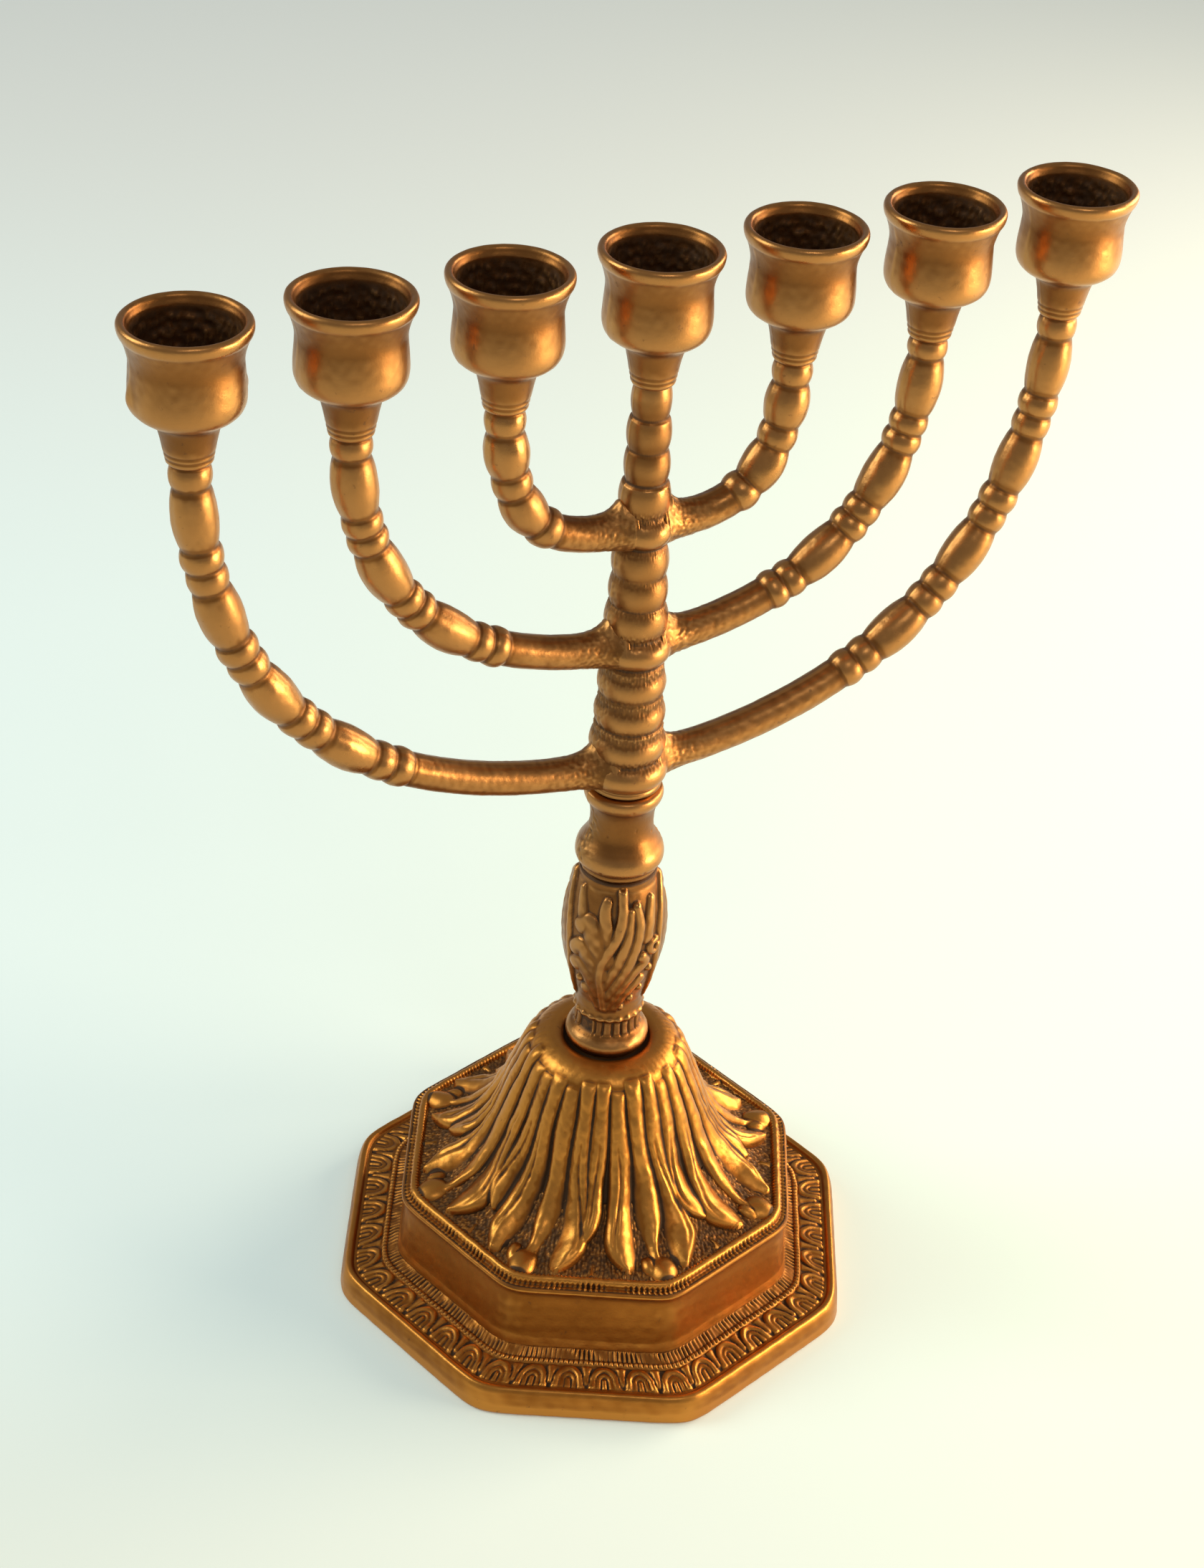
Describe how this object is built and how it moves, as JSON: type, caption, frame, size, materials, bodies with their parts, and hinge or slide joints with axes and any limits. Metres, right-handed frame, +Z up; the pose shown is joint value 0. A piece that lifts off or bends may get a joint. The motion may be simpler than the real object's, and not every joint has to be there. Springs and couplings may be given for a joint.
{
  "type": "menorah",
  "caption": "Brass branched candelabrum with beaded curved arms and flared candle cups, on a spool collar, leaf baluster and stepped octagonal domed base held by a tie rod.",
  "frame": {"origin": "centre of the base's foot, on the surface it stands on, under the stem's axis", "axes": "+Z up the stem towards the candle cups; the arms lie in the XZ plane, so +X runs along the row of cups and +Y is the back"},
  "size_m": [0.2074, 0.124, 0.25],
  "materials": {
    "aged_brass": "worn satin cast brass with brown patina in the hollows",
    "golden_brass": "polished cast brass, golden on the high spots and dark in the ornament",
    "steel_hardware": "dull plated steel"
  },
  "bodies": {
    "base": {"base_lower_tier": "golden_brass", "base_middle_tier": "golden_brass", "base_dome_foot": "golden_brass", "base_dome_neck": "golden_brass"},
    "baluster": {"leaf_baluster": "aged_brass"},
    "collar": {"spool_collar": "aged_brass"},
    "candelabrum": {"centre_column": "aged_brass", "arm_outer_left": "aged_brass", "arm_outer_right": "aged_brass", "arm_middle_left": "aged_brass", "arm_middle_right": "aged_brass", "arm_inner_left": "aged_brass", "arm_inner_right": "aged_brass", "candle_cup_1": "aged_brass", "candle_cup_2": "aged_brass", "candle_cup_3": "aged_brass", "candle_cup_4": "aged_brass", "candle_cup_5": "aged_brass", "candle_cup_6": "aged_brass", "candle_cup_7": "aged_brass", "tie_rod": "steel_hardware"},
    "washers": {"plain_washer": "steel_hardware", "lock_washer": "steel_hardware"},
    "nut": {"hex_nut": "steel_hardware"}
  },
  "joints": [
    {"name": "baluster_turn", "type": "hinge", "parent": "base", "child": "baluster", "pos_m": [0, 0, 0.0622], "axis": [0, 0, 1], "continuous": true},
    {"name": "collar_turn", "type": "hinge", "parent": "baluster", "child": "collar", "pos_m": [0, 0, 0.1091], "axis": [0, 0, 1], "continuous": true},
    {"name": "candelabrum_turn", "type": "hinge", "parent": "collar", "child": "candelabrum", "pos_m": [0, 0, 0.1302], "axis": [0, 0, 1], "continuous": true},
    {"name": "washer_drop", "type": "slide", "parent": "candelabrum", "child": "washers", "axis": [0, 0, -1], "range_m": [0, 0.003]},
    {"name": "nut_spin", "type": "hinge", "parent": "washers", "child": "nut", "pos_m": [0, 0, 0.0495], "axis": [0, 0, -1], "range_deg": [0, 1080]}
  ],
  "couplings": [
    {"joint": "nut_spin", "follows": "washer_drop", "rad_per_m": 6283.2}
  ]
}
